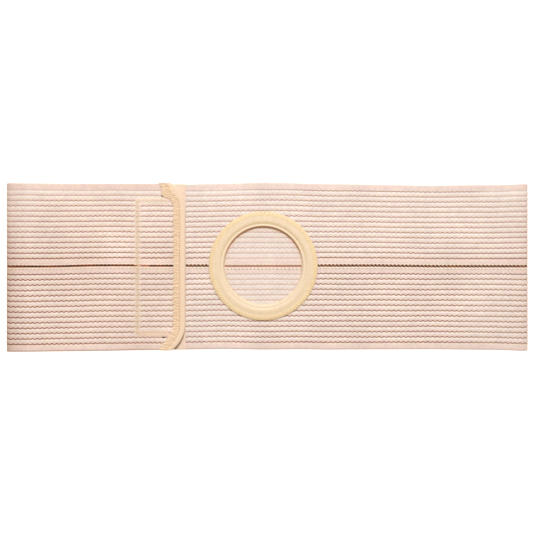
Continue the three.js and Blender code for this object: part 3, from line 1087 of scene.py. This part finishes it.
# Ragged zigzag over the tape's inner half, a chain along its fold, and a short dark brown tack at each end of
# the box, which is painted shadow in the groove beside the tape's ends
bindingSewing = {
    "from": -0.02,  # shares of the tape's width
    "to": [(0.0, 0.9), (0.13, 0.6)],  # by the share of its length from the nearer end
    "period": 2.2,
    "lift": 0.27,
    "radius": 0.28,
    "jitter": 0.85,
    "missing": 0.24,
    "chainAt": 0.55,
    "chainPeriod": 2.3,
    "chainStitch": 1.9,
    "chainRadius": 0.34,
    "chainLift": 0.3,
    # dark brown tacks put as painted shadow in the groove beside the tape's ends
    "tacks": [(-94.8, 63.8, 2.8), (-93.8, -63.8, 4.4)],  # place and length
    "tackRadius": 0.38,
}
bindingWays = waysAlong(outerLine)


def bindingPlace(share, across, lift):
    # a point on the tape's top, and its up direction, at a share of its length
    k, part = stretchAt(bindingWays, share * bindingWays[-1])
    inner, outer = [line[k].lerp(line[k + 1], part) for line in (innerLine, outerLine)]
    top = belt["flapZ"] + belt["wall"] / 2 + binding["wall"] / 2 + lift
    return onFlapTop(Vector((*inner.lerp(outer, across), top))), upward


def bindingStitches():
    s = bindingSewing

    def inside(share):
        return bindingPlace(share, s["from"], s["lift"])

    def outside(share):
        return bindingPlace(share, alongTable(s["to"], min(share, 1 - share)), s["lift"])

    stitches = zigzag(inside, outside, round(bindingWays[-1] / s["period"]), jitter=s["jitter"])
    return [stitch for stitch in stitches if random.random() > s["missing"]]


def bindingChain():
    s = bindingSewing
    count = round(bindingWays[-1] / s["chainPeriod"])
    for k in range(count):
        first, last = [bindingPlace(at / count, s["chainAt"], s["chainLift"])[0]
                       for at in (k, k + s["chainStitch"] / s["chainPeriod"])]
        yield first, last, upward


def shadeTacks():
    # painted shadow: dark brown tacks in the groove beside the tape's ends
    top = belt["flapZ"] + elastic["groove"] + bindingSewing["tackRadius"]
    for x, y, length in bindingSewing["tacks"]:
        start = onFlapTop(Vector((x - length / 2, y, top)))
        yield start, start + Vector((length, 0, 0)), upward


sew("flap_binding_thread", bindingStitches(), bindingSewing["radius"], "golden")
sew("flap_shade_tacks", shadeTacks(), bindingSewing["tackRadius"], "brown")
sew("flap_binding_chain", bindingChain(), bindingSewing["chainRadius"], "honey")

# Closure strips between the front panel and the flap
strips = {"cell": 2.5, "edgeRound": 0.25, "edgeSegments": 2, "edgeAngle": 1.0, "ripple": 0.06,
          "rippleLength": 6.0}


def makeStrip(name, low, high, material, replaced):
    s = strips
    low, high = low / mm, high / mm
    columns, rows = [[*steps(a, b, s["cell"]), b] for a, b in zip(low.xy, high.xy)]
    bm = gridAt(columns, rows)
    thicken(bm, high.z - low.z)
    keepFlatPlaces(bm)
    for v in bm.verts:
        ripple = noise.noise((v.co.x / s["rippleLength"], v.co.y / s["rippleLength"], 0.0))
        v.co.z += low.z + s["ripple"] * ripple
    rim = [e for e in bm.edges if e.calc_face_angle(0.0) > s["edgeAngle"]]
    bmesh.ops.bevel(bm, geom=rim, offset=s["edgeRound"], segments=s["edgeSegments"], profile=0.5,
                    affect="EDGES", material=-1)
    piece = finishPiece(meshFrom(bm, name), material, replaced)


hookMaterial = wovenTape("nylon hook tape", "#cfb797", "#bfa37f")
makeStrip("hook_strip_tape", hookLow, hookHigh, hookMaterial, "hook_strip")
makeStrip("loop_strip_pile", loopLow, loopHigh, brushedPile(), "loop_strip")

# Stage: floor, light and the camera straight above
stage = {
    "floorSize": 30.0,
    "floorZ": -0.2 * mm,
    "lens": 100.0,
    "fieldWidth": 533 * 0.91 * mm,  # the photograph is 533 pixels of 0.91 mm wide
    "aim": (-0.68 * mm, 0.23 * mm),
    "aimZ": belt["frontZ"] * mm,
    "keyAt": (0.08, 1.376, 2.0),
    "keySize": 0.72,
    "keyWatts": 66.0,
    "fill": "#ffe0c0",
    "fillStrength": 0.42,
}
bm = bmesh.new()
bmesh.ops.create_grid(bm, x_segments=1, y_segments=1, size=stage["floorSize"] / 2)
bmesh.ops.translate(bm, verts=bm.verts, vec=(0, 0, stage["floorZ"]))
floorMesh = bpy.data.meshes.new("studioFloor")
bm.to_mesh(floorMesh)
bm.free()
floorMesh.materials.append(lightTable())
floor = bpy.data.objects.new("studioFloor", floorMesh)

keyData = bpy.data.lights.new("softbox", "AREA")
keyData.size = stage["keySize"]
keyData.energy = stage["keyWatts"]
key = bpy.data.objects.new("softbox", keyData)
key.location = stage["keyAt"]
key.rotation_euler = (-Vector(stage["keyAt"])).to_track_quat("-Z", "Y").to_euler()

cameraData = bpy.data.cameras.new("camera")
cameraData.lens = stage["lens"]
distance = stage["fieldWidth"] * stage["lens"] / cameraData.sensor_width
camera = bpy.data.objects.new("camera", cameraData)
camera.location = (*stage["aim"], stage["aimZ"] + distance)

scene = bpy.context.scene
for item in (floor, key, camera):
    scene.collection.objects.link(item)
scene.camera = camera
scene.world = bpy.data.worlds.new("studio")
scene.world.use_nodes = True
background = scene.world.node_tree.nodes["Background"]
background.inputs["Color"].default_value = hexColor(stage["fill"])
background.inputs["Strength"].default_value = stage["fillStrength"]
scene.view_settings.view_transform = "Standard"
print("stage set")
